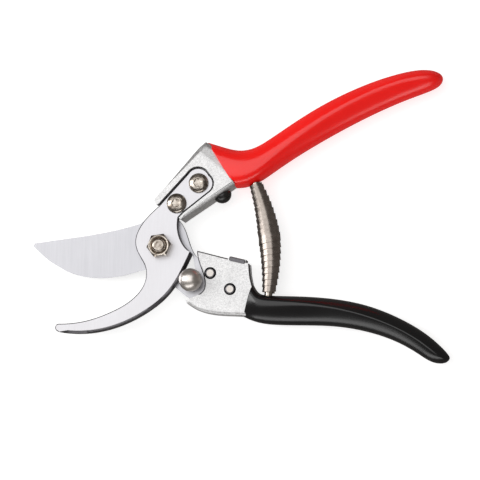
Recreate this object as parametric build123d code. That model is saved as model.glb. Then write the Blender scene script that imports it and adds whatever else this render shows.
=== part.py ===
from build123d import *
import math
import os

# Bypass pruning shears, lying open with the nut side up.
# Millimetres. The origin is on the pivot axis, on the underside of the pivot bolt's head,
# +Z runs up the pivot axis to the nut, +X points from the blades to the handles, and the
# cutting blade's side is the one above the handles' mid line at the tip.

# ---- driving dimensions ----
GAP = 0.05                # running clearance between sliding faces and in shaft holes
BOLT_HEAD_T = 2.6         # low round head of the pivot bolt, which the shears lie on
LOCK_RING_T = 1.55        # notched ring between the bolt head and the blade
BLADE_T = 3.0             # cutting blade
HOOK_T = 4.0              # counter blade
SHEET_T = 2.0             # pressed steel of the lower handle
TRAVEL_DEG = 41.5         # closing travel of the handles
DIP_T = 1.8               # dipped vinyl over the handles
LOCK_TRAVEL = 4.0         # thumb knob travel
ARC_R = 97.6              # bend radius of the return spring's centre line

BLADE_Z = BOLT_HEAD_T + LOCK_RING_T + GAP   # back face of the blade
SHEAR_Z = BLADE_Z + BLADE_T                 # plane in which the two blades slide
HOOK_Z = SHEAR_Z + GAP                      # back face of the counter blade
HOOK_TOP = HOOK_Z + HOOK_T

SHOULDER_R = 4.0          # pivot bolt, under the blade's bore
THREAD_R = 3.0            # pivot bolt, M6
BOLT_HEAD_R = 6.5
BOLT_FLAT_X = 3.2         # flat on the bolt that the notched ring is keyed to
BOLT_END = 0.8            # rounded end of the bolt beyond the nut
SOCKET_AF = 3.0           # hexagon sockets of the bolt and the screws
NUT_AF = 10.0             # across the flats
NUT_H = 5.0
NUT_TURN = 8.0
LOCK_RING_R = 10.5
NOTCH_R = 2.3             # notch in the ring's rim, wider and deeper than the lock's finger
NOTCH_SPARE = 1.0
FINGER_R = 1.5

KNOB_AT = (14.5, -15.7)   # thumb knob in its free place
KNOB_R = 5.3
KNOB_SHANK_R = 2.1
SLOT_R = 2.4              # slot for the knob's shank
SLOT_LENGTH = 11.0
SLOT_ANGLE = 101.3        # direction of the slot, degrees from +X
FINGER_AT = (7.65, -9.8)  # rounded end of the lock's finger in its free place

SCREWS_AT = [(7.4, 19.8), (17.5, 29.1)]
SCREW_R = 2.5
SCREW_HEAD_R = 4.6
SCREW_HEAD_H = 2.4
SCREW_END_Z = 2.4
RIVETS_AT = [(23.0, -12.2), (32.2, -19.6)]
RIVET_R = 2.2
RIVET_PROUD = 0.3         # rivet head above the near flange

HEAD_Z0 = 0.9             # forged head of the upper handle
HEAD_Z1 = 12.7
RECESS_GAP = 0.6          # between the counter blade's tang and the rims around it
BOSS_SWEEP_R = 15.6       # the blade's round boss turns inside this radius

BUMPER_AT = (28.2, 23.9)  # middle of the bumper's flat side
BUMPER_DIR = -61.0        # the way it faces, degrees from +X
BUMPER_R = 4.2
BUMPER_H = 3.6
BUMPER_STEM_R = 1.5
BUMPER_STEM = 4.0

SPRING_CENTRE = (-46.9, -8.2)   # centre of the spring's bend
SPRING_TOP_DEG = 22.2
SPRING_BOTTOM_DEG = -7.6
SPRING_STEPS = 11
SPRING_END_R = 2.8
SPRING_MID_R = 5.05
SPRING_WALL = 1.0         # two strips at an overlap
PEG_R = 1.85
PEG_IN_SPRING = 5.0
PEG_IN_GRIP = 5.5

# Grips: upper and lower edge of the plan at each station, lowest and highest point there.
UPPER_GRIP = [
    ((20.9, 48.7), (34.6, 27.2), 0.3, 13.5),
    ((27.5, 46.6), (39.6, 27.4), 0.0, 13.9),
    ((35.0, 44.2), (44.8, 29.6), 0.35, 14.1),
    ((43.0, 45.2), (50.0, 33.1), 0.35, 14.15),
    ((53.0, 52.0), (60.3, 40.5), 0.35, 14.15),
    ((71.5, 64.5), (79.0, 51.5), 0.35, 14.15),
    ((91.5, 74.0), (97.5, 61.0), 0.35, 14.15),
    ((108.0, 79.4), (112.0, 67.2), 0.5, 13.9),
    ((119.8, 81.5), (121.8, 70.5), 1.2, 13.2),
    ((126.5, 80.4), (127.4, 72.9), 2.6, 11.8),
    ((129.3, 78.2), (129.5, 75.8), 5.8, 8.6),
]
LOWER_GRIP = [
    ((42.8, -17.5), (38.3, -32.1), 0.4, 10.8),
    ((45.2, -22.0), (42.5, -34.2), 0.05, 13.2),
    ((50.6, -22.6), (49.8, -36.0), 0.05, 14.4),
    ((64.7, -22.8), (64.7, -36.2), 0.05, 14.4),
    ((79.8, -23.8), (79.0, -36.3), 0.05, 14.4),
    ((95.5, -26.8), (93.0, -38.4), 0.2, 14.2),
    ((110.5, -33.0), (106.5, -42.5), 0.7, 13.7),
    ((122.3, -40.0), (117.0, -48.2), 1.1, 13.3),
    ((129.4, -46.5), (123.6, -53.1), 2.0, 12.4),
    ((132.3, -49.8), (128.6, -54.0), 3.8, 10.6),
    ((133.1, -51.5), (131.6, -53.3), 6.2, 8.2),
]


def polar(angle, radius, centre=(0, 0)):
    a = math.radians(angle)
    return (centre[0] + radius * math.cos(a), centre[1] + radius * math.sin(a))


def along_slot(point, distance):
    return polar(SLOT_ANGLE, distance, point)


def plate(outline, z0, z1):
    """Flat piece with a closed outline, from z0 to z1."""
    return Pos(0, 0, z0) * extrude(make_face(outline), z1 - z0)


def disc(centre, radius, z0, z1):
    return Pos(centre[0], centre[1], (z0 + z1) / 2) * Cylinder(radius, z1 - z0)


def capsule(start, end, radius, z0, z1):
    """Straight slot or bar with round ends, from centre to centre."""
    run = Vector(*end) - Vector(*start)
    middle = (Vector(*start) + Vector(*end)) * 0.5
    turn = math.degrees(math.atan2(run.Y, run.X))
    slot = SlotOverall(run.length + 2 * radius, 2 * radius)
    return Pos(middle.X, middle.Y, z0) * Rot(0, 0, turn) * extrude(slot, z1 - z0)


def hexagon(across_flats, z0, z1):
    return Pos(0, 0, z0) * extrude(RegularPolygon(across_flats / 2, 6, major_radius=False), z1 - z0)


# ---- blades ----

def blade_outline():
    """Spine, round boss, tang under the pressed handle, heel, and the curved edge."""
    tip = (-60.2, 1.2)
    spine_end = polar(131.8, 14.9)
    boss_end = polar(58.0, 14.9)
    spine = Spline((-59.4, 2.3), (-47.2, 3.9), (-24.9, 7.3), spine_end)
    boss = ThreePointArc(spine_end, polar(95, 14.9), boss_end)
    neck = Spline(boss_end, (10.6, 8.3), (12.7, 2.4), (16.4, -4.6))
    tang = Polyline((16.4, -4.6), (36.5, -12.0), (36.5, -28.4), (23.0, -27.3), (15.8, -25.2),
                    (11.5, -22.5))
    heel = Spline((11.5, -22.5), (6.7, -18.6), (-1.5, -13.0), (-9.9, -10.8))
    edge = Spline((-9.9, -10.8), (-18.5, -13.1), (-28.6, -14.0), (-38.0, -12.9), (-47.2, -9.3),
                  (-54.7, -4.0), tip)
    point = Line(tip, (-59.4, 2.3))
    return spine + boss + neck + tang + heel + edge + point


def edge_bevel():
    """What grinding takes off the blade's back, so that the edge is thin on the shear plane."""
    sections = []
    for at, inward in [((-62.5, 3.5), 35), ((-54.7, -4.0), 48), ((-41.0, -12.0), 65),
                       ((-28.6, -14.0), 90), ((-16.5, -12.7), 104), ((-7.0, -9.6), 110)]:
        across = Vector(*polar(inward, 1))
        section = Plane(origin=(at[0], at[1], BLADE_Z), x_dir=(across.X, across.Y, 0),
                        z_dir=(across.Y, -across.X, 0))
        wedge = Polyline((5.5, -0.5), (5.5, 0), (0.0, BLADE_T - 0.3), (-2.0, BLADE_T + 0.68),
                         (-2.0, -0.5), close=True)
        sections.append(section * make_face(wedge))
    return loft(sections, ruled=True)


def cutting_blade():
    blade = plate(blade_outline(), BLADE_Z, SHEAR_Z)
    blade -= edge_bevel()
    blade -= disc((0, 0), SHOULDER_R + GAP, BLADE_Z, SHEAR_Z)
    blade -= capsule(KNOB_AT, along_slot(KNOB_AT, SLOT_LENGTH), SLOT_R, BLADE_Z, SHEAR_Z)
    for at in RIVETS_AT:
        blade -= disc(at, RIVET_R + GAP, BLADE_Z, SHEAR_Z)
    return blade


def tang_edges():
    """Rounded end of the counter blade, from its right side over the top to its left side."""
    return (Line((8.2, 13.4), (10.4, 15.7)) + Line((10.4, 15.7), (22.6, 25.3))
            + ThreePointArc((22.6, 25.3), (24.2, 29.0), (22.2, 32.8))
            + ThreePointArc((22.2, 32.8), (17.6, 36.1), (12.5, 33.5))
            + Line((12.5, 33.5), (-0.7, 18.9)))


def recess_outline():
    """Seat in the upper handle: the tang's outline, open towards the pivot."""
    mouth = Polyline((-0.7, 18.9), (-3.3, 18.1), (-6.5, 15.0), (0.0, 4.0), (8.2, 13.4))
    return offset(make_face(tang_edges() + mouth), RECESS_GAP)


def hook_outline():
    """Counter blade from its toe round the concave notch, tang, boss and hook."""
    notch = Spline((13.4, -2.2), (9.9, 2.0), (8.1, 7.6), (8.2, 13.4))
    inner = Spline((-0.7, 18.9), (-5.1, 14.8), (-10.6, 7.0), (-11.7, 2.0), (-9.9, -3.7), (-6.9, -9.3),
                   (-6.7, -15.4), (-11.7, -23.3), (-22.6, -30.1), (-35.1, -34.3), (-47.3, -35.4))
    tip = ThreePointArc((-47.3, -35.4), (-48.5, -37.2), (-46.6, -39.1))
    outer = Spline((-46.6, -39.1), (-38.2, -39.9), (-23.3, -38.0), (-6.6, -30.6), (4.7, -21.1),
                   (11.1, -10.8), (14.6, -3.4))
    toe = Line((14.6, -3.4), (13.4, -2.2))
    return notch + tang_edges() + inner + tip + outer + toe


def counter_blade():
    hook = plate(hook_outline(), HOOK_Z, HOOK_TOP)
    hook -= disc((0, 0), THREAD_R + GAP, HOOK_Z, HOOK_TOP)
    for at in SCREWS_AT:
        hook -= disc(at, SCREW_R + GAP, HOOK_Z, HOOK_TOP)
    return hook


# ---- grips ----

def grip_body(stations, inset=0.0):
    """Rounded bar along a handle, thinner all round by inset."""
    sections = []
    for above, below, low, high in stations:
        across = Vector(*above) - Vector(*below)
        middle = (Vector(*above) + Vector(*below)) * 0.5
        width = across.length - 2 * inset
        height = high - low - 2 * inset
        x_dir = across.normalized()
        section = Plane(origin=(middle.X, middle.Y, (low + high) / 2), x_dir=(x_dir.X, x_dir.Y, 0),
                        z_dir=(-x_dir.Y, x_dir.X, 0))
        sections.append(section * RectangleRounded(width, height, 0.42 * min(width, height)))
    return loft(sections)


def spring_peg(at, direction, clearance=0.0):
    """Peg in the spring's end and in a handle, or with a clearance the hole for it."""
    peg = Cylinder(PEG_R + clearance, PEG_IN_SPRING + PEG_IN_GRIP)
    shift = (PEG_IN_GRIP - PEG_IN_SPRING) / 2
    start = polar(direction, shift, at)
    return Pos(start[0], start[1], SHEAR_Z) * Rot(0, 0, direction) * Rot(0, 90, 0) * peg


def spring_end(angle):
    return polar(angle, ARC_R, SPRING_CENTRE)


def upper_peg(clearance=0.0):
    return spring_peg(spring_end(SPRING_TOP_DEG), SPRING_TOP_DEG + 90, clearance)


def lower_peg(clearance=0.0):
    return spring_peg(spring_end(SPRING_BOTTOM_DEG), SPRING_BOTTOM_DEG - 90, clearance)


# ---- upper handle ----

def head_outline():
    """Forged head: round end by the pivot, left rim, end inside the grip, underside, right rim."""
    arc_start = polar(89, BOSS_SWEEP_R)
    arc_end = polar(50.5, BOSS_SWEEP_R)
    return (ThreePointArc(arc_end, polar(70, BOSS_SWEEP_R), arc_start)
            + Spline(arc_start, (-1.6, 19.0), (-2.7, 20.6), (-2.0, 22.7))
            + Line((-2.0, 22.7), (17.8, 46.2))
            + Line((17.8, 46.2), (20.3, 48.5))
            + Line((20.3, 48.5), (22.4, 47.4))
            + Line((22.4, 47.4), (34.3, 28.5))
            + Line((34.3, 28.5), (11.7, 13.3))
            + Line((11.7, 13.3), arc_end))


def upper_handle_solid():
    head = plate(head_outline(), HEAD_Z0, HEAD_Z1)
    return head + grip_body(UPPER_GRIP[:-1], DIP_T)


def bumper_frame():
    """Placed on the head's underside, its Z pointing out at the lower handle."""
    return Pos(BUMPER_AT[0], BUMPER_AT[1], SHEAR_Z) * Rot(0, 0, BUMPER_DIR) * Rot(0, 90, 0)


def upper_handle():
    handle = upper_handle_solid()
    handle -= Pos(0, 0, SHEAR_Z) * extrude(recess_outline(), HEAD_Z1)
    for at in SCREWS_AT:
        handle -= disc(at, SCREW_R + GAP, SCREW_END_Z - 0.4, SHEAR_Z)
    handle -= bumper_frame() * Pos(0, 0, -BUMPER_STEM / 2) * Cylinder(BUMPER_STEM_R + GAP, BUMPER_STEM)
    handle -= upper_peg(GAP)
    return handle


def upper_grip():
    return grip_body(UPPER_GRIP) - upper_handle_solid() - upper_peg(GAP)


def bumper():
    """Half-round rubber button on a stem pressed into the head."""
    ball_r = (BUMPER_R ** 2 + BUMPER_H ** 2) / (2 * BUMPER_H)
    ball = Pos(0, 0, BUMPER_H - ball_r) * Sphere(ball_r)
    dome = ball & Pos(0, 0, BUMPER_H / 2) * Box(3 * BUMPER_R, 3 * BUMPER_R, BUMPER_H)
    stem = Pos(0, 0, -BUMPER_STEM / 2) * Cylinder(BUMPER_STEM_R, BUMPER_STEM)
    return bumper_frame() * (dome + stem)


# ---- lower handle ----

FLANGE_TOP_Z = SHEAR_Z + SHEET_T        # near flange's face
FLANGE_BOTTOM_Z = BLADE_Z - SHEET_T     # far flange's face
CHANNEL_TOP_Z = 12.2                    # the channel widens inside the grip


def flange_outline():
    """Pressed head: top edge, step down into the grip, outer bottom edge, round cut by the knob."""
    top = Line((16.8, -1.8), (41.0, -8.0))
    rear = Spline((41.0, -8.0), (41.3, -11.5), (43.0, -19.0), (47.0, -24.4))
    end = Line((47.0, -24.4), (44.5, -32.8))
    bottom = Spline((44.5, -32.8), (38.0, -31.9), (27.9, -31.4), (16.4, -28.7), (11.9, -25.6))
    nose = Line((11.9, -25.6), (11.6, -24.2))
    cut = Spline((11.6, -24.2), (16.4, -22.7), (20.1, -19.5), (20.3, -15.1), (18.0, -8.0), (16.8, -1.8))
    return top + rear + end + bottom + nose + cut


def channel_inside(z0, z1):
    """Room between the flanges, down to the web along the bottom."""
    floor = Spline((60.0, -31.2), (38.0, -29.9), (27.9, -29.4), (16.4, -26.6), (8.0, -22.0))
    sides = Polyline((8.0, -22.0), (8.0, 5.0), (60.0, 5.0), (60.0, -31.2))
    return plate(floor + sides, z0, z1)


def grip_channel():
    """The pressed channel inside the lower grip, open towards the spring."""
    above = [(a[0] - 0.2, a[1] - DIP_T) for a, b, low, high in LOWER_GRIP[2:-2]]
    below = [(b[0] - 0.2, b[1] + DIP_T) for a, b, low, high in LOWER_GRIP[2:-2]]
    floor = [(x, y + SHEET_T) for x, y in below]
    start_above, start_below = (44.6, -24.6), (43.6, -32.6)
    outside = (Spline(start_above, *above) + Line(above[-1], below[-1])
               + Spline(*reversed(below), start_below) + Line(start_below, start_above))
    room_start = (46.6, -31.0)
    room_sides = Polyline(floor[-1], (floor[-1][0], 0), (room_start[0], 0), room_start)
    room = Spline(room_start, *floor) + room_sides
    channel = plate(outside, FLANGE_BOTTOM_Z, CHANNEL_TOP_Z)
    return channel - plate(room, BLADE_Z, CHANNEL_TOP_Z - SHEET_T)


def strike_tab():
    """Lug bent over the channel's open side, which the bumper lands on."""
    lug = Polyline((31.9, -4.3), (39.5, -6.1), (39.1, -7.9), (31.5, -6.1), close=True)
    return plate(lug, FLANGE_BOTTOM_Z, FLANGE_TOP_Z)


def lower_handle_solid():
    head = plate(flange_outline(), FLANGE_BOTTOM_Z, FLANGE_TOP_Z) - channel_inside(BLADE_Z, SHEAR_Z)
    return head + grip_channel() + strike_tab()


def lower_handle():
    handle = lower_handle_solid() - lower_peg(GAP)
    for at in RIVETS_AT:
        handle -= disc(at, RIVET_R + GAP, 0, HOOK_TOP)
    return handle


def lower_grip():
    """Dipped over the channel and filling it, flush with the tang's end."""
    return grip_body(LOWER_GRIP) - lower_handle_solid() - lower_peg(GAP)


# ---- fasteners ----

def beyond_bolt_flat(z0, z1):
    """What the flat takes off the bolt's shoulder."""
    return disc((0, 0), SHOULDER_R, z0, z1) & Pos(BOLT_FLAT_X, -SHOULDER_R, z0) * Box(
        SHOULDER_R, 2 * SHOULDER_R, z1 - z0, align=(Align.MIN, Align.MIN, Align.MIN))


def pivot_bolt():
    bolt = disc((0, 0), BOLT_HEAD_R, 0, BOLT_HEAD_T)
    bolt = chamfer(bolt.edges().group_by(Axis.Z)[0], 0.6)
    bolt += disc((0, 0), SHOULDER_R, BOLT_HEAD_T, SHEAR_Z)
    bolt -= beyond_bolt_flat(BOLT_HEAD_T, BOLT_HEAD_T + LOCK_RING_T)
    end_z = HOOK_TOP + NUT_H + BOLT_END
    thread = disc((0, 0), THREAD_R, SHEAR_Z, end_z)
    thread = fillet(thread.edges().group_by(Axis.Z)[-1], 0.9)
    return bolt + thread - hexagon(SOCKET_AF, end_z - 2.0, end_z)


def lock_ring():
    """Ring keyed to the bolt; the lock's finger drops in a notch at each end of the travel."""
    z0, z1 = BOLT_HEAD_T, BOLT_HEAD_T + LOCK_RING_T
    ring = disc((0, 0), LOCK_RING_R, z0, z1)
    ring -= disc((0, 0), SHOULDER_R, z0, z1) - beyond_bolt_flat(z0, z1)
    notch_end = along_slot(FINGER_AT, LOCK_TRAVEL + NOTCH_SPARE)
    notch = capsule(FINGER_AT, notch_end, NOTCH_R, z0, z1)
    for turn in (0, TRAVEL_DEG):
        ring -= Rot(0, 0, turn) * notch
    return ring


def pivot_nut():
    top = HOOK_TOP + NUT_H
    body = Rot(0, 0, NUT_TURN) * hexagon(NUT_AF, HOOK_TOP, top)
    cone = disc((0, 0), NUT_AF / math.sqrt(3), HOOK_TOP, top)
    cone = chamfer(cone.edges().group_by(Axis.Z)[-1], 0.9)
    return (body & cone) - disc((0, 0), THREAD_R + GAP, HOOK_TOP, top)


def handle_screw(at):
    """Button-head socket screw through the counter blade's tang into the head."""
    top = HOOK_TOP + SCREW_HEAD_H
    head = disc((0, 0), SCREW_HEAD_R, HOOK_TOP, top)
    head = fillet(head.edges().group_by(Axis.Z)[-1], SCREW_HEAD_H - 0.5)
    shank = disc((0, 0), SCREW_R, SCREW_END_Z, HOOK_TOP)
    return Pos(at[0], at[1], 0) * (head + shank - hexagon(SOCKET_AF, top - 1.5, top))


def blade_rivet(at):
    return disc(at, RIVET_R, FLANGE_BOTTOM_Z, FLANGE_TOP_Z + RIVET_PROUD)


# ---- lock ----

def lock_knob():
    """Ball-shaped thumb knob; its shank runs through the tang's slot to the bar behind."""
    ball_z = HOOK_TOP + 1.9
    ball = Pos(0, 0, ball_z) * Sphere(KNOB_R)
    ball &= disc((0, 0), KNOB_R, HOOK_TOP + 0.4, HOOK_TOP + 2 * KNOB_R)
    shank = disc((0, 0), KNOB_SHANK_R, BOLT_HEAD_T + GAP, ball_z)
    return Pos(KNOB_AT[0], KNOB_AT[1], 0) * (ball + shank)


def lock_bar():
    """Flat latch behind the tang: an eye round the shank and a finger pointing at the ring."""
    z0, z1 = BOLT_HEAD_T + GAP, BLADE_Z - GAP
    elbow = along_slot(FINGER_AT, -5.6)
    bar = disc(KNOB_AT, 4.6, z0, z1)
    bar += capsule(KNOB_AT, elbow, 2.0, z0, z1)
    bar += capsule(elbow, FINGER_AT, FINGER_R, z0, z1)
    bar -= disc(KNOB_AT, KNOB_SHANK_R, z0, z1)
    return bar - disc(KNOB_AT, 3.6, z1 - 0.6, z1)


def lock_washer():
    """Friction washer in the bar's recess, against the back of the tang."""
    z1 = BLADE_Z - GAP
    return disc(KNOB_AT, 3.5, z1 - 0.6, z1) - disc(KNOB_AT, KNOB_SHANK_R, z1 - 0.6, z1)


# ---- return spring ----

def spring_radius(t):
    """Outer radius along the spring, t from 0 at the upper end to 1 at the lower end."""
    return SPRING_END_R + (SPRING_MID_R - SPRING_END_R) * (1 - abs(2 * t - 1) ** 1.3)


def spring():
    """Two flat strips wound into a stepped barrel, bent between the handles."""
    step = (SPRING_TOP_DEG - SPRING_BOTTOM_DEG) / SPRING_STEPS
    rings = []
    for i in range(SPRING_STEPS):
        radius = spring_radius((i + 0.5) / SPRING_STEPS)
        inner = radius - SPRING_WALL
        section = Pos(ARC_R, 0) * (Circle(radius) - Circle(inner))
        turn = Rot(0, 0, SPRING_TOP_DEG - (i + 1) * step)
        rings.append(turn * revolve(Plane.XZ * section, Axis.Z, revolution_arc=step))
    barrel = rings[0].fuse(*rings[1:])
    return Pos(SPRING_CENTRE[0], SPRING_CENTRE[1], SHEAR_Z) * barrel


def build_parts():
    parts = {
        "cutting_blade": cutting_blade(),
        "counter_blade": counter_blade(),
        "upper_handle": upper_handle(),
        "upper_grip": upper_grip(),
        "bumper": bumper(),
        "lower_handle": lower_handle(),
        "lower_grip": lower_grip(),
        "pivot_bolt": pivot_bolt(),
        "pivot_nut": pivot_nut(),
        "lock_ring": lock_ring(),
        "lock_knob": lock_knob(),
        "lock_bar": lock_bar(),
        "lock_washer": lock_washer(),
        "spring": spring(),
        "spring_peg_upper": upper_peg(),
        "spring_peg_lower": lower_peg(),
    }
    for number, at in enumerate(SCREWS_AT, 1):
        parts[f"handle_screw_{number}"] = handle_screw(at)
    for number, at in enumerate(RIVETS_AT, 1):
        parts[f"blade_rivet_{number}"] = blade_rivet(at)
    return parts


os.makedirs("parts", exist_ok=True)
for name, shape in build_parts().items():
    export_step(shape, f"parts/{name}.step")
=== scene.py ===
# Bypass pruning shears lying open, nut side up: a flat ground blade and a hooked counter blade on
# one pivot, a forged upper handle, a pressed lower handle, dipped vinyl grips, a strip spring
# and a thumb lock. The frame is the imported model; the looks are made here, piece by piece.
import math

import bmesh
import bpy
from mathutils import Matrix, Vector


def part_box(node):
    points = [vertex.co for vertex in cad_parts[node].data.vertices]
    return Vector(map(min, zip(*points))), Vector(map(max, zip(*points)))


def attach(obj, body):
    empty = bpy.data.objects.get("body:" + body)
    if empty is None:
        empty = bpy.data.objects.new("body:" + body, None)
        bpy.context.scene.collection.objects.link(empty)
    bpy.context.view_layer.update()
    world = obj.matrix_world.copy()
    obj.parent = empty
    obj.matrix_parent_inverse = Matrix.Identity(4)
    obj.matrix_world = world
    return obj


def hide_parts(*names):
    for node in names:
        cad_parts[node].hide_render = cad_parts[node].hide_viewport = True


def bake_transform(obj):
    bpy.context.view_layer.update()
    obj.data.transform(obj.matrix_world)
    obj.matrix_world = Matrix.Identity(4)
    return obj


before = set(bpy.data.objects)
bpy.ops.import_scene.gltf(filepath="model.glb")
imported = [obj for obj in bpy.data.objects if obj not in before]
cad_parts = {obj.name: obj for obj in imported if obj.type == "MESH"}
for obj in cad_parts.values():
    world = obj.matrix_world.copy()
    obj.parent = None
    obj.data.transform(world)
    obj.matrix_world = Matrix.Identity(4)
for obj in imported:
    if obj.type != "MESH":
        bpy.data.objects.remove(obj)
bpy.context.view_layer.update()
scene = bpy.context.scene
MM = 0.001


# ---- Table, lamps and camera ----
# A white table, one soft lamp overhead, a panel low on the left and a strip in front of it.
# The camera is almost straight above and leans a little to the handles' side.
PLAN_CENTRE = Vector((36.35, 3.21, 7.2)) * MM
CAMERA_BACK = Vector((0.145, -0.125, 1.0)).normalized()
CAMERA_ROLL = math.radians(0.61)
CAMERA_AWAY = 1.5
PLAN_WIDTH = 0.22
SENSOR = 36.0
TABLE_Z = -0.6 * MM


def aim(obj, back, roll=0.0):
    """Turns a lamp or camera so that it looks against back, with +Y at the top of its view."""
    right = Vector((0, 1, 0)).cross(back).normalized()
    turn = Matrix((right, back.cross(right), back)).transposed()
    obj.rotation_euler = (turn @ Matrix.Rotation(roll, 3, "Z")).to_euler()


def soft_lamp(name, direction, away, width, height, radiance):
    """A rectangular lamp facing the shears, an even patch of the given brightness."""
    lamp = bpy.data.lights.new(name, "AREA")
    lamp.shape = "RECTANGLE"
    lamp.size = width
    lamp.size_y = height
    lamp.energy = radiance * math.pi * width * height
    lit = bpy.data.objects.new(name, lamp)
    scene.collection.objects.link(lit)
    back = Vector(direction).normalized()
    lit.location = PLAN_CENTRE + back * away
    aim(lit, back)


soft_lamp("overhead_lamp", (-0.17, 0.13, 1.0), 1.1, 1.35, 1.35, 1.45)
soft_lamp("left_panel", (-1.0, 0.12, 0.62), 1.2, 0.9, 0.6, 4.5)
soft_lamp("front_strip", (-0.1, -1.0, 0.3), 1.2, 1.6, 0.35, 2.4)

world = bpy.data.worlds.new("room")
world.use_nodes = True
world.node_tree.nodes["Background"].inputs["Color"].default_value = (1.0, 0.93, 0.88, 1)
world.node_tree.nodes["Background"].inputs["Strength"].default_value = 0.16
scene.world = world
scene.view_settings.view_transform = "Standard"

camera_data = bpy.data.cameras.new("camera")
camera_data.sensor_width = SENSOR
camera_data.lens = SENSOR * CAMERA_AWAY / PLAN_WIDTH
camera = bpy.data.objects.new("camera", camera_data)
scene.collection.objects.link(camera)
camera.location = PLAN_CENTRE + CAMERA_BACK * CAMERA_AWAY
aim(camera, CAMERA_BACK, CAMERA_ROLL)
scene.camera = camera


class Wave:
    """One socket of a finish's node tree; arithmetic on it adds the nodes."""

    def __init__(self, tree, socket):
        self.tree, self.socket = tree, socket

    def node(self, kind, settings=None, inputs=None, output=0):
        """Adds a node. Its settings and a ramp's stops are set first, then its sockets."""
        added = self.tree.nodes.new(kind)
        for name, value in (settings or {}).items():
            if name == "stops":
                stops = added.color_ramp.elements
                for i, (at, level) in enumerate(value):
                    stop = stops[i] if i < 2 else stops.new(at)
                    stop.position = at
                    stop.color = (level, level, level, 1)
            else:
                setattr(added, name, value)
        for name, value in (inputs or {}).items():
            if isinstance(value, Wave):
                self.tree.links.new(value.socket, added.inputs[name])
            else:
                added.inputs[name].default_value = value
        return Wave(self.tree, added.outputs[output])

    def math(self, operation, *values):
        return self.node("ShaderNodeMath", {"operation": operation}, dict(enumerate(values)))

    def __add__(self, other):
        return self.math("ADD", self, other)

    def __mul__(self, other):
        return self.math("MULTIPLY", self, other)

    def stretched(self, stretch=(1, 1, 1), turn=0.0):
        return self.node("ShaderNodeMapping", {}, {"Vector": self, "Rotation": (0, 0, math.radians(turn)),
                                                   "Scale": stretch})

    def noise(self, scale, detail=2.0, rough=0.5):
        """Noise on these coordinates, with scale in waves a metre."""
        return self.node("ShaderNodeTexNoise", {}, {"Vector": self, "Scale": scale, "Detail": detail,
                                                     "Roughness": rough})

    def flakes(self, scale):
        """A different level from 0 to 1 in each small cell."""
        cells = self.node("ShaderNodeTexVoronoi", {}, {"Vector": self, "Scale": scale}, 1)
        return cells.node("ShaderNodeSeparateColor", {}, {"Color": cells}, 0)

    def ramp(self, *stops):
        """This, stretched between the given (place, level) stops."""
        return self.node("ShaderNodeValToRGB", {"stops": stops}, {"Fac": self})

    def tint(self, dark, light):
        """Colour from dark to light as this runs from 0 to 1."""
        return self.node("ShaderNodeMix", {"data_type": "RGBA"}, {0: self, 6: (*dark, 1), 7: (*light, 1)}, 2)

    def bump(self, height, strength=1.0):
        """Normals of a surface that rises by height, in metres, as this runs from 0 to 1."""
        return self.node("ShaderNodeBump", {}, {"Height": self, "Distance": height, "Strength": strength})


class Finish:
    """A surface finish: even values sit on the shader, and what varies is fed to it."""

    def __init__(self, name, **even):
        self.material = bpy.data.materials.new(name)
        self.material.use_nodes = True
        tree = self.material.node_tree
        self.shader = tree.nodes["Principled BSDF"]
        for socket, value in even.items():
            value = (*value, 1) if isinstance(value, tuple) else value
            self.shader.inputs[socket.replace("_", " ")].default_value = value
        self.place = Wave(tree, tree.nodes.new("ShaderNodeTexCoord").outputs["Object"])

    def feed(self, **varying):
        for socket, wave in varying.items():
            wave.tree.links.new(wave.socket, self.shader.inputs[socket.replace("_", " ")])


floor_mesh = bmesh.new()
bmesh.ops.create_grid(floor_mesh, x_segments=1, y_segments=1, size=1.5,
                      matrix=Matrix.Translation((0, 0, TABLE_Z)))
floor_data = bpy.data.meshes.new("table")
floor_mesh.to_mesh(floor_data)
floor_mesh.free()
floor = bpy.data.objects.new("table", floor_data)
scene.collection.objects.link(floor)
table_top = Finish("table_top", Base_Color=(0.55, 0.55, 0.55), Roughness=0.9, Specular_IOR_Level=0.1,
                   Emission_Color=(1.0, 1.0, 1.0), Emission_Strength=0.72)
floor_data.materials.append(table_top.material)
floor.visible_glossy = False


# ---- Cutting blade ----
# A 3 mm plate of hardened carbon steel, ground flat on the front with the wheel's marks left
# across it, and bevelled from behind to the edge. Its tang runs into the pressed handle.
ground_steel = Finish("ground_steel", Metallic=1.0)
marks = ground_steel.place.stretched((1.0, 0.03, 0.3), 6).noise(1000, 5, 0.7)
fine_marks = ground_steel.place.stretched((1.0, 0.02, 0.3), 3).noise(3800, 3, 0.6)
cloud = ground_steel.place.noise(38, 3, 0.6)
ground_steel.feed(
    Base_Color=(marks * 0.5 + cloud * 0.3 + fine_marks * 0.2).tint((0.36, 0.36, 0.38), (0.60, 0.60, 0.63)),
    Roughness=marks * 0.16 + 0.28,
    Normal=(marks * 0.6 + fine_marks * 0.4).bump(0.012 * MM, 0.6))

# A dark copy of the steel for side walls, chamfers and cut edges. Its darkness is painted shade, for the
# shadow and dark reflections on those faces; only its streaks are real grain.
edge_painted_shade = Finish("edge_painted_shade", Metallic=1.0, Roughness=0.42)
streaks = edge_painted_shade.place.stretched((1.0, 1.0, 0.15)).noise(1400, 3, 0.6)
edge_painted_shade.feed(Base_Color=streaks.tint((0.07, 0.068, 0.075), (0.20, 0.195, 0.205)),
                  Normal=streaks.bump(0.02 * MM, 0.5))


def joined_copy(node):
    """A bmesh of a frame node with its loose triangles joined and its flat faces made whole."""
    bm = bmesh.new()
    bm.from_mesh(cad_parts[node].data)
    bmesh.ops.remove_doubles(bm, verts=bm.verts, dist=0.001 * MM)
    bmesh.ops.dissolve_limit(bm, angle_limit=math.radians(0.6), verts=bm.verts, edges=bm.edges)
    bm.normal_update()
    return bm


def corners_of(bm, wanted=None, angle=50):
    """The edges sharper than angle, and of these the ones that wanted(edge) picks."""
    return [edge for edge in bm.edges if edge.is_manifold and edge.calc_face_angle() > math.radians(angle)
            and (wanted is None or wanted(edge))]


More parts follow.
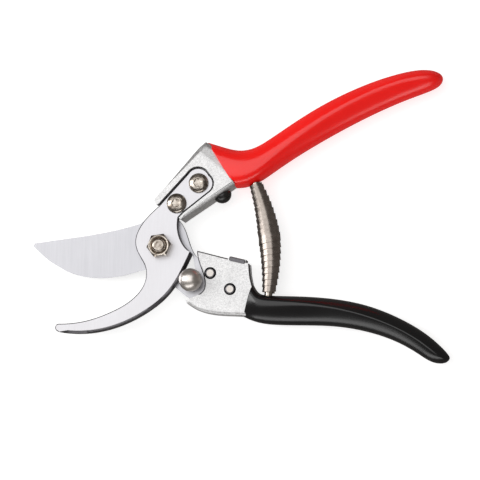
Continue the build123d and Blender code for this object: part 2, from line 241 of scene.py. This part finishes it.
def middle_of(edge):
    return (edge.verts[0].co + edge.verts[1].co) / 2


def level_with(edge, z):
    return all(abs(vert.co.z - z) < 0.01 * MM for vert in edge.verts)


def bevel(bm, edges, width, segments=2, clamp=True):
    bmesh.ops.bevel(bm, geom=list(edges), affect="EDGES", offset=width * MM, segments=segments,
                    profile=0.5, material=-1, clamp_overlap=clamp)


def shown(name, bm, finish, body, nodes, sharp=35, second=None, flats=True):
    """Puts a finished mesh in the scene, on its body, in place of its frame nodes."""
    mesh = bpy.data.meshes.new(name)
    bm.to_mesh(mesh)
    bm.free()
    mesh.materials.append(finish.material)
    if second:
        mesh.materials.append(second.material)
    mesh.shade_smooth()
    mesh.set_sharp_from_angle(angle=math.radians(sharp))
    piece = bpy.data.objects.new(name, mesh)
    scene.collection.objects.link(piece)
    if flats:
        piece.modifiers.new("even_flats", "WEIGHTED_NORMAL").keep_sharp = True
    if body:
        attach(piece, body)
    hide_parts(*nodes)
    return piece


blade = joined_copy("cutting_blade")
bevel(blade, corners_of(blade), 0.12, 1)
# The side walls take the dark edge finish, which is painted shade.
for face in blade.faces:
    face.material_index = 1 if abs(face.normal.z) < 0.3 else 0
shown("blade", blade, ground_steel, "lower_side", ["cutting_blade"], second=edge_painted_shade)


# ---- Counter blade ----
# The hook, boss and tang in one 4 mm plate, blanked, plated and satin finished, with a chamfer
# round its outline. Two screws hold its tang in the upper handle's seat.
satin_steel = Finish("satin_steel", Metallic=1.0)
cloud = satin_steel.place.noise(55, 4, 0.6)
grain = satin_steel.place.stretched((1.0, 0.06, 1.0), -40).noise(2600, 3, 0.6)
satin_steel.feed(
    Base_Color=(cloud * 0.6 + grain * 0.4).tint((0.48, 0.47, 0.485), (0.62, 0.62, 0.645)),
    Roughness=cloud * 0.1 + 0.3,
    Normal=grain.bump(0.004 * MM, 0.5))


def side_of(edge):
    """Which way the side wall next to an edge faces."""
    return min((face.normal for face in edge.link_faces), key=lambda normal: abs(normal.z))


hook = joined_copy("counter_blade")
hook_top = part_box("counter_blade")[1].z
OUTER_SIDE = Vector((0.6, -0.8, 0))
OUTER_CHAMFER = 1.25
INNER_CHAMFER = 0.4


def outer_hook(edge):
    """An edge of the hook's long outer curve, from its corner below the pivot to its tip."""
    return (level_with(edge, hook_top) and side_of(edge).dot(OUTER_SIDE) > 0.2
            and middle_of(edge).y < -4 * MM and middle_of(edge).x > -44 * MM)


outer = corners_of(hook, outer_hook, 40)
inner = [edge for edge in corners_of(hook, lambda edge: level_with(edge, hook_top)) if edge not in outer]
bevel(hook, outer, OUTER_CHAMFER, 1, clamp=False)
bevel(hook, [edge for edge in inner if edge.is_valid], INNER_CHAMFER, 1, clamp=False)
# The chamfers and side walls take the dark edge finish, which is painted shade drawing the dark outline.
for face in hook.faces:
    face.material_index = 1 if abs(face.normal.z) < 0.9 else 0
shown("hook", hook, satin_steel, "root", ["counter_blade"], second=edge_painted_shade)


# ---- Upper handle ----
# A drop-forged carbon steel handle, tumbled and sprayed with fine silver paint. The counter
# blade's tang sits in a seat between two rounded rims, and the rear, which slopes down from a
# ridge, goes into the red grip.
silver_paint = Finish("silver_paint", Metallic=0.8)
flakes = silver_paint.place.flakes(2300)
fine_flakes = silver_paint.place.noise(3600, 3, 0.7)
mottle = silver_paint.place.noise(160, 4, 0.65)
glitter = flakes * 0.35 + fine_flakes * 0.35 + mottle * 0.3
silver_paint.feed(
    Base_Color=glitter.tint((0.30, 0.30, 0.305), (1.0, 1.0, 1.0)),
    Roughness=flakes * 0.14 + 0.38,
    Normal=(fine_flakes * 0.6 + mottle * 0.4).bump(0.05 * MM, 0.5))

HEAD_TOP = 12.7 * MM
NEAR_TABLE = 1 * MM      # only the head's outer walls come down below this
head = joined_copy("upper_handle")


def outside_head(edge):
    """A long edge of the head's outline, and not of the seat cut in it."""
    lowest = min(vert.co.z for face in edge.link_faces for vert in face.verts)
    return level_with(edge, HEAD_TOP) and lowest < NEAR_TABLE and edge.calc_length() > 2 * MM


def left_rim(edge):
    return outside_head(edge) and side_of(edge).y > 0


def right_rim(edge):
    return outside_head(edge) and side_of(edge).y < 0


def everything(bm):
    return bm.verts[:] + bm.edges[:] + bm.faces[:]


def cut_off(bm, place, direction):
    """Cuts off what lies beyond a place, in mm, in the given direction, and closes the cut."""
    cut = bmesh.ops.bisect_plane(bm, geom=everything(bm), plane_co=Vector(place) * MM, plane_no=direction,
                                 clear_outer=True)["geom_cut"]
    rim = [item for item in cut if isinstance(item, bmesh.types.BMEdge)]
    bmesh.ops.holes_fill(bm, edges=rim)


DIP_LINE = Vector((27.75, 37.95, 0))     # middle of the grip's lip
DIP_AXIS = Vector((0.843, 0.537, 0))
UNDER_LIP = 0.8                          # how far the head is kept under the lip
RIDGE = Vector((17.2, 43.6, 0)) * MM
RIDGE_AXIS = Vector((0.62, 0.785, 0)).normalized()
RIDGE_SLOPE = math.tan(math.radians(14))
SLOPED_FROM = 10 * MM
LEFT_RIM_R = 2.4
RIGHT_RIM_R = 1.5
BUMPER_AT = Vector((28.2, 23.9, 7.2)) * MM
BUMPER_TURN = math.radians(-61)
bumper_axis = Vector((math.cos(BUMPER_TURN), math.sin(BUMPER_TURN), 0))
STEM_REACH = 1.9 * MM
STEM_DEPTH = 6 * MM


def in_stem_hole(vert):
    """Whether a corner is on the wall of the bumper stem's hole."""
    away = vert.co - BUMPER_AT
    along = away.dot(bumper_axis)
    return (away - bumper_axis * along).length < STEM_REACH and along > -STEM_DEPTH


stem_hole = [face for face in head.faces if all(in_stem_hole(vert) for vert in face.verts)]
bmesh.ops.delete(head, geom=stem_hole, context="FACES")
bmesh.ops.holes_fill(head, edges=[edge for edge in head.edges if edge.is_boundary])
bmesh.ops.dissolve_limit(head, angle_limit=math.radians(0.6), verts=head.verts, edges=head.edges)
cut_off(head, DIP_LINE + DIP_AXIS * UNDER_LIP, DIP_AXIS)
bevel(head, corners_of(head, left_rim, 40), LEFT_RIM_R, 8, clamp=False)
bevel(head, corners_of(head, right_rim, 40), RIGHT_RIM_R, 6, clamp=False)
bevel(head, corners_of(head, lambda edge: level_with(edge, HEAD_TOP), 40), 0.3, 2)
ridge = bmesh.ops.bisect_plane(head, geom=everything(head), plane_co=RIDGE, plane_no=RIDGE_AXIS)["geom_cut"]
for vert in head.verts:
    beyond = (vert.co - RIDGE).dot(RIDGE_AXIS)
    if beyond > 0 and vert.co.z > SLOPED_FROM:
        vert.co.z -= beyond * RIDGE_SLOPE
crest = [item for item in ridge if isinstance(item, bmesh.types.BMEdge) and item.is_valid
         and level_with(item, HEAD_TOP)]
bevel(head, crest, 0.9, 4, clamp=False)
shown("forged_handle", head, silver_paint, "root", ["upper_handle"])


# ---- Grips ----
# The handles are dipped in soft vinyl, red above and black below, which follows the bar inside
# with a shallow flat along its front. The dip ends in a thin lip, and its skin is glossy.
def vinyl(name, dark, light, gloss):
    """Glossy dipped vinyl, a little smeared in its colour and with a faint orange peel."""
    finish = Finish(name, Specular_IOR_Level=gloss)
    peel = finish.place.noise(700, 2, 0.5)
    smear = finish.place.noise(60, 4, 0.6)
    finish.feed(Base_Color=smear.tint(dark, light), Roughness=smear * 0.12 + 0.16,
                Normal=peel.bump(0.02 * MM, 0.35))
    return finish


def extrude_face(bm, face, keep=False):
    """Extrudes one face and gives the new one, without leaving the old one inside."""
    made = bmesh.ops.extrude_face_region(bm, geom=[face])["geom"]
    if not keep:
        bmesh.ops.delete(bm, geom=[face], context="FACES_ONLY")
    return next(item for item in made if isinstance(item, bmesh.types.BMFace))


CAGE_WIDER = 1.03    # smoothing draws a surface inside its cage
CAGE_TALLER = 1.02


def grip(name, stations, finish, body, node):
    """Extrudes a section from station to station. A station has the bar's upper and lower edge in
    plan, its lowest and highest point, and the two edges of the flat along its front."""
    bm = bmesh.new()
    crease = bm.edges.layers.float.new("crease_edge")
    end = None
    for above, below, low, high, flat_above, flat_below in stations:
        above, below = Vector(above), Vector(below)
        section = [(0.5, -0.08), (0.46, 0.24), (flat_above, 0.5), (flat_below, 0.5), (-0.46, 0.22),
                   (-0.5, -0.08), (-0.42, -0.4), (-0.2, -0.5), (0.2, -0.5), (0.42, -0.4)]
        middle = (above + below) / 2
        across = (above - below) * CAGE_WIDER
        height = (high - low) * CAGE_TALLER
        ring = [Vector((*(middle + across * u), (low + high) / 2 + height * v)) * MM for u, v in section]
        if end is None:
            end = bm.faces.new([bm.verts.new(place) for place in ring])
        else:
            end = extrude_face(bm, end, keep=len(bm.faces) == 1)
            for vert, place in zip(end.verts, ring):
                vert.co = place
    bm.faces.ensure_lookup_table()
    for edge in bm.faces[0].edges:
        edge[crease] = 1.0
    bmesh.ops.recalc_face_normals(bm, faces=bm.faces)
    piece = shown(name, bm, finish, body, [node], sharp=180, flats=False)
    smooth = piece.modifiers.new("smooth", "SUBSURF")
    smooth.levels = smooth.render_levels = 4
    return piece


red_vinyl = vinyl("red_vinyl", (0.9, 0.006, 0.004), (1.0, 0.012, 0.009), 0.6)
grip("red_grip", [
    ((20.9, 48.7), (34.6, 27.2), 0.3, 13.3, 0.16, -0.36),
    ((27.5, 46.6), (39.6, 27.4), 0.0, 13.9, 0.16, -0.34),
    ((35.0, 44.2), (44.8, 29.6), 0.35, 14.1, 0.14, -0.30),
    ((43.0, 45.2), (50.0, 33.1), 0.35, 14.15, 0.12, -0.24),
    ((53.0, 52.0), (60.3, 40.5), 0.35, 14.15, 0.10, -0.12),
    ((71.5, 64.5), (79.0, 51.5), 0.35, 14.15, 0.12, 0.02),
    ((91.5, 74.0), (97.5, 61.0), 0.35, 14.15, 0.16, 0.08),
    ((108.0, 79.4), (112.0, 67.2), 0.5, 13.9, 0.2, 0.1),
    ((119.8, 81.5), (121.8, 70.5), 1.2, 13.2, 0.2, 0.0),
    ((126.5, 80.4), (127.4, 72.9), 2.6, 11.8, 0.2, -0.1),
    ((129.3, 78.2), (129.5, 75.8), 5.8, 8.6, 0.2, -0.2),
], red_vinyl, "root", "upper_grip")

black_vinyl = vinyl("black_vinyl", (0.0035, 0.0035, 0.004), (0.006, 0.006, 0.0065), 0.55)
grip("black_grip", [
    ((42.8, -17.5), (38.3, -32.1), 0.4, 12.2, 0.34, 0.06),
    ((45.2, -22.0), (42.5, -34.2), 0.05, 13.4, 0.34, 0.04),
    ((50.6, -22.6), (49.8, -36.0), 0.05, 14.1, 0.34, 0.06),
    ((64.7, -22.8), (64.7, -36.2), 0.05, 14.4, 0.26, 0.14),
    ((79.8, -23.8), (79.0, -36.3), 0.05, 14.4, 0.14, 0.1),
    ((95.5, -26.8), (93.0, -38.4), 0.2, 14.2, 0.06, 0.02),
    ((110.5, -33.0), (106.5, -42.5), 0.7, 13.7, 0.04, 0.0),
    ((122.3, -40.0), (117.0, -48.2), 1.1, 13.3, 0.04, -0.02),
    ((129.4, -46.5), (123.6, -53.1), 2.0, 12.4, 0.1, -0.08),
    ((132.3, -49.8), (128.6, -54.0), 3.8, 10.6, 0.1, -0.1),
    ((133.1, -51.5), (131.6, -53.3), 6.2, 8.2, 0.1, -0.1),
], black_vinyl, "lower_side", "lower_grip")


# ---- Bumper ----
# A moulded rubber button with a half-round face, pushed into a hole in the underside of the
# forged head. It lands on the lower handle's lug and stops the handles.
rubber = Finish("rubber", Specular_IOR_Level=0.7)
skin = rubber.place.noise(900, 4, 0.6)
rubber.feed(Base_Color=skin.tint((0.004, 0.004, 0.004), (0.014, 0.0135, 0.013)),
            Roughness=skin * 0.15 + 0.2,
            Normal=skin.bump(0.08 * MM, 0.6))
BUTTON_R = 4.25 * MM
BUTTON_SUNK = 0.65 * MM
STEM_INSET = 2.6 * MM
STEM_LENGTH = 4 * MM


def cut_below(bm, z):
    """Cuts a ball off below z and gives the flat face that closes it."""
    cut = bmesh.ops.bisect_plane(bm, geom=everything(bm), plane_co=(0, 0, z), plane_no=(0, 0, 1),
                                 clear_inner=True)["geom_cut"]
    bmesh.ops.contextual_create(bm, geom=[item for item in cut if isinstance(item, bmesh.types.BMEdge)])
    return lowest_face(bm)


def lowest_face(bm):
    return min(bm.faces, key=lambda face: face.calc_center_median().z)


button = bmesh.new()
bmesh.ops.create_uvsphere(button, u_segments=48, v_segments=32, radius=BUTTON_R,
                          matrix=Matrix.Translation((0, 0, -BUTTON_SUNK)))
base = cut_below(button, 0)
bmesh.ops.inset_region(button, faces=[base], thickness=STEM_INSET)
bmesh.ops.translate(button, verts=extrude_face(button, base).verts, vec=(0, 0, -STEM_LENGTH))
bmesh.ops.transform(button, verts=button.verts, matrix=Matrix.Translation(BUMPER_AT)
                    @ Matrix.Rotation(BUMPER_TURN, 4, "Z") @ Matrix.Rotation(math.radians(90), 4, "Y"))
bmesh.ops.recalc_face_normals(button, faces=button.faces)
shown("bumper_button", button, rubber, "root", ["bumper"])


# ---- Lower handle ----
# One steel pressing folded along its bottom edge into two flanges that clasp the blade's tang,
# with a lug bent over the open side, sprayed silver. Two rivets go through flanges and tang.
pressing = joined_copy("lower_handle")
FLANGE_FACES = (2.2 * MM, 9.2 * MM)      # far flange's back and near flange's front
IN_GRIP_X = 43.6                         # the pressing is cut off here, inside the grip
FOLD_R = 1.8
LUG = ((31.95, -4.4), (39.45, -6.2), (38.95, -8.3), (31.45, -6.5))
LUG_BACK = 2.4 * MM
LUG_FRONT = 9.55 * MM


def folded(edge):
    """An edge of the bottom fold."""
    return (side_of(edge).y < -0.75 and middle_of(edge).x < 46 * MM and middle_of(edge).y < -24 * MM
            and any(level_with(edge, z) for z in FLANGE_FACES))


def cut_rim(edge):
    """An edge of the near flange's cut outline, clear of the lug and of the bottom fold."""
    middle = middle_of(edge)
    by_lug = middle.x > 31 * MM and middle.y > -8.3 * MM
    return level_with(edge, FLANGE_FACES[1]) and middle.y > -22 * MM and not by_lug


cut_off(pressing, (IN_GRIP_X, 0, 0), (1, 0, 0))
bevel(pressing, corners_of(pressing, folded), FOLD_R, 5, clamp=False)
bevel(pressing, corners_of(pressing, cut_rim), 0.55, 1, clamp=False)
lug_back = [pressing.verts.new((x * MM, y * MM, LUG_BACK)) for x, y in LUG]
lug = bmesh.ops.extrude_face_region(pressing, geom=[pressing.faces.new(lug_back)])["geom"]
lug_front = [item for item in lug if isinstance(item, bmesh.types.BMVert)]
bmesh.ops.translate(pressing, verts=lug_front, vec=(0, 0, LUG_FRONT - LUG_BACK))
upright = [edge for vert in lug_front for edge in vert.link_edges if not level_with(edge, LUG_FRONT)]
bevel(pressing, upright, 0.7, 3)
bevel(pressing, corners_of(pressing, lambda edge: level_with(edge, LUG_FRONT), 40), 0.4, 1)
# The near flange's cut edges and the whole lug take the dark edge finish: painted shade, though the pressing
# is sprayed silver all over.
for face in pressing.faces:
    middle = face.calc_center_median()
    cut_edge = abs(face.normal.z) < 0.93 and middle.y > -23.5 * MM
    on_lug = middle.z > FLANGE_FACES[1] + 0.05 * MM
    face.material_index = 1 if cut_edge or on_lug else 0
shown("pressed_handle", pressing, silver_paint, "lower_side", ["lower_handle"],
      second=edge_painted_shade)

bare_rivet = Finish("bare_rivet", Metallic=1.0, Roughness=0.34)
marks = bare_rivet.place.noise(1500, 4, 0.7)
bare_rivet.feed(Base_Color=marks.tint((0.40, 0.37, 0.34), (0.66, 0.63, 0.60)),
                Normal=marks.bump(0.03 * MM, 0.5))
RIVET_RING = 0.5 * MM
RIVET_DOME = 0.15 * MM
for node in ("blade_rivet_1", "blade_rivet_2"):
    rivet = joined_copy(node)
    bevel(rivet, corners_of(rivet), 0.1, 1)
    for face in [face for face in rivet.faces if abs(face.normal.z) > 0.99]:
        bmesh.ops.inset_region(rivet, faces=[face], thickness=RIVET_RING, depth=RIVET_DOME)
    # The rivets' sides take the dark edge finish, which is painted shade.
    for face in rivet.faces:
        face.material_index = 1 if abs(face.normal.z) < 0.99 else 0
    shown(f"{node}_head", rivet, bare_rivet, "lower_side", [node], second=edge_painted_shade)


# ---- Pivot and screws ----
# An M6 bolt with a round head behind, a hexagon nut in front and its rounded end showing, and
# two button-head socket screws in the tang. All are nickel plated and bright.
nickel = Finish("nickel", Metallic=1.0)
tarnish = nickel.place.noise(420, 4, 0.65)
patches = tarnish.ramp((0.35, 0.0), (0.65, 1.0))
nickel.feed(Base_Color=patches.tint((0.20, 0.165, 0.135), (0.60, 0.55, 0.49)),
            Roughness=tarnish * 0.1 + 0.15,
            Normal=tarnish.bump(0.02 * MM, 0.4))
AXIS_R = 0.02            # last ring of a piece that closes on its axis


def turned(centre, rings):
    """A closed piece of round or hexagonal rings, from (radius, height, how far it is a hexagon)."""
    bm = bmesh.new()
    bmesh.ops.create_circle(bm, cap_ends=True, segments=72, radius=rings[0][0] * MM)
    end = bm.faces[:][0]
    for number, (radius, height, hexagon) in enumerate(rings):
        if number:
            end = extrude_face(bm, end, keep=number == 1)
        for vert in end.verts:
            angle = math.atan2(vert.co.y, vert.co.x)
            flat = math.cos(math.pi / 6) / math.cos((angle + math.tau) % (math.pi / 3) - math.pi / 6)
            along = Vector((math.cos(angle), math.sin(angle), 0)) * radius * (1 + hexagon * (flat - 1))
            vert.co = (along + Vector((0, 0, height))) * MM
    bmesh.ops.transform(bm, verts=bm.verts, matrix=Matrix.Translation(Vector(centre) * MM))
    bmesh.ops.recalc_face_normals(bm, faces=bm.faces)
    return bm


def socket(radius, top, depth):
    """Rings of a hexagon socket with a drilled end."""
    bottom = top - depth
    return [(radius + 0.25, top, 0.0), (radius + 0.1, top - 0.02, 0.6), (radius, top - 0.15, 1.0),
            (radius, bottom, 1.0), (radius * 0.8, bottom - 0.05, 0.0), (AXIS_R, bottom - 0.5, 0.0)]


SEAT_Z = 11.25           # the hook's front face, which the screws and the nut stand on
SCREWS = (("handle_screw_1", (7.4, 19.8)), ("handle_screw_2", (17.5, 29.1)))
SHANK_R = 2.5
SHANK_LENGTH = 8.85
BUTTON_HEAD_R = 4.6
BUTTON_HEAD_RISE = 1.95
for node, (x, y) in SCREWS:
    shank = [(SHANK_R, -SHANK_LENGTH, 0.0), (SHANK_R, 0.0, 0.0)]
    brim = [(BUTTON_HEAD_R - 0.3, 0.0, 0.0), (BUTTON_HEAD_R, 0.25, 0.0)]
    dome = [(BUTTON_HEAD_R * math.cos(a) ** 0.8, 0.5 + BUTTON_HEAD_RISE * math.sin(a), 0.0)
            for a in map(math.radians, range(0, 66, 7))]
    screw = turned((x, y, SEAT_Z), shank + brim + dome + socket(2.05, 2.3, 1.3))
    shown(f"plated_{node}", screw, nickel, "root", [node], sharp=40)

NUT_R = 5.77
NUT_H = 5.0
NUT_TURN = math.radians(8)
flats = [(NUT_R, 0.0, 1.0), (NUT_R, NUT_H - 0.8, 1.0)]
crown = [(4.75, NUT_H - 0.1, 0.0), (4.6, NUT_H, 0.0), (4.2, NUT_H, 0.0)]
countersink = [(4.0, NUT_H - 0.1, 0.0), (3.4, NUT_H - 0.7, 0.0), (3.1, NUT_H - 1.1, 0.0),
               (AXIS_R, NUT_H - 1.1, 0.0)]
nut = turned((0, 0, SEAT_Z), flats + crown + countersink)
bmesh.ops.rotate(nut, verts=nut.verts, cent=(0, 0, 0), matrix=Matrix.Rotation(NUT_TURN, 3, "Z"))
shown("plated_pivot_nut", nut, nickel, "root", ["pivot_nut"], sharp=30)
bolt = joined_copy("pivot_bolt")
bevel(bolt, corners_of(bolt, angle=35), 0.25, 2)
shown("plated_pivot_bolt", bolt, nickel, "root", ["pivot_bolt"], sharp=30)


def coat(node, finish):
    """Gives a frame node that stays its finish."""
    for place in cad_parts[node].material_slots:
        place.material = finish.material


coat("lock_ring", nickel)


# ---- Thumb lock ----
# A polished ball on a shank through the tang's slot, with a flat latch bar and a washer behind.
# The shank is pressed into the bar and riveted over.
polished = Finish("polished_steel", Metallic=1.0)
haze = polished.place.noise(300, 3, 0.6)
polished.feed(Base_Color=haze.tint((0.66, 0.61, 0.57), (0.8, 0.76, 0.72)),
              Roughness=haze * 0.06 + 0.33)
KNOB_AT = Vector((14.5, -15.7, 13.15)) * MM
KNOB_R = 5.3 * MM
KNOB_SEAT_Z = 11.65 * MM
KNOB_SHANK_INSET = 2.73 * MM
KNOB_SHANK_LENGTH = 9.0 * MM
knob = bmesh.new()
bmesh.ops.create_uvsphere(knob, u_segments=72, v_segments=48, radius=KNOB_R,
                          matrix=Matrix.Translation(KNOB_AT))
bevel(knob, cut_below(knob, KNOB_SEAT_Z).edges, 0.25, 2)
base = lowest_face(knob)
bmesh.ops.inset_region(knob, faces=[base], thickness=KNOB_SHANK_INSET)
bmesh.ops.translate(knob, verts=extrude_face(knob, base).verts, vec=(0, 0, -KNOB_SHANK_LENGTH))
bmesh.ops.recalc_face_normals(knob, faces=knob.faces)
shown("thumb_knob", knob, polished, "lock", ["lock_knob"])
coat("lock_bar", nickel)
coat("lock_washer", nickel)


# ---- Return spring ----
# Two flat strips of nickel plated spring steel wound into long volutes that slide in each other,
# thick in the middle. It stands bent between the grips, held on a peg at each end.
spring_strip = Finish("spring_strip", Metallic=1.0)
wear = spring_strip.place.noise(500, 4, 0.65)
spring_strip.feed(Base_Color=wear.tint((0.17, 0.14, 0.12), (0.52, 0.47, 0.43)),
                  Roughness=wear * 0.1 + 0.22,
                  Normal=wear.bump(0.03 * MM, 0.5))
BEND_CENTRE = Vector((-46.9, -8.2))
BEND_RADIUS = 97.6
BEND_TOP = math.radians(22.2)
BEND_BOTTOM = math.radians(-7.6)
SPRING_LENGTH = BEND_RADIUS * (BEND_TOP - BEND_BOTTOM)
SPRING_Z = 7.2
SPRING_TURNS = 18
SPRING_END_R = 2.8
SPRING_MID_R = 5.05
STRIP_WIDTH = 3.9
STRIP_T = 0.45
STRIP_FLARE = 0.32       # how much wider a strip's outer edge is than its inner edge
TUCK = 0.05              # how far the second strip runs inside the first


def strip(bm, start, end, tuck):
    """Winds one strip from start to end along the spring, both as fractions of its length."""
    segments = int((end - start) * SPRING_TURNS * 40)
    wound = bmesh.ops.create_grid(bm, x_segments=segments, y_segments=1, size=0.5)["verts"]
    for vert in wound:
        along = start + (end - start) * (vert.co.x + 0.5)
        angle = math.tau * along * SPRING_TURNS
        flare = STRIP_FLARE * vert.co.y * (1 if along > 0.5 else -1)
        swell = (SPRING_MID_R - SPRING_END_R) * (1 - abs(2 * along - 1) ** 1.3)
        radius = SPRING_END_R + swell - tuck + flare
        place = along * SPRING_LENGTH + vert.co.y * STRIP_WIDTH
        place = min(max(place, 0), SPRING_LENGTH)
        toward = BEND_TOP - place / BEND_RADIUS
        out = BEND_RADIUS + radius * math.cos(angle)
        vert.co = Vector((BEND_CENTRE.x + out * math.cos(toward), BEND_CENTRE.y + out * math.sin(toward),
                          SPRING_Z + radius * math.sin(angle))) * MM


coil = bmesh.new()
strip(coil, 0.0, 0.53, 0.0)
strip(coil, 0.47, 1.0, TUCK)
bmesh.ops.recalc_face_normals(coil, faces=coil.faces)
bmesh.ops.solidify(coil, geom=coil.faces[:], thickness=STRIP_T * MM)
bmesh.ops.recalc_face_normals(coil, faces=coil.faces)
spring = shown("strip_spring", coil, spring_strip, None, ["spring"], flats=False)


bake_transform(spring)
for node in ("spring_peg_upper", "spring_peg_lower"):
    coat(node, nickel)
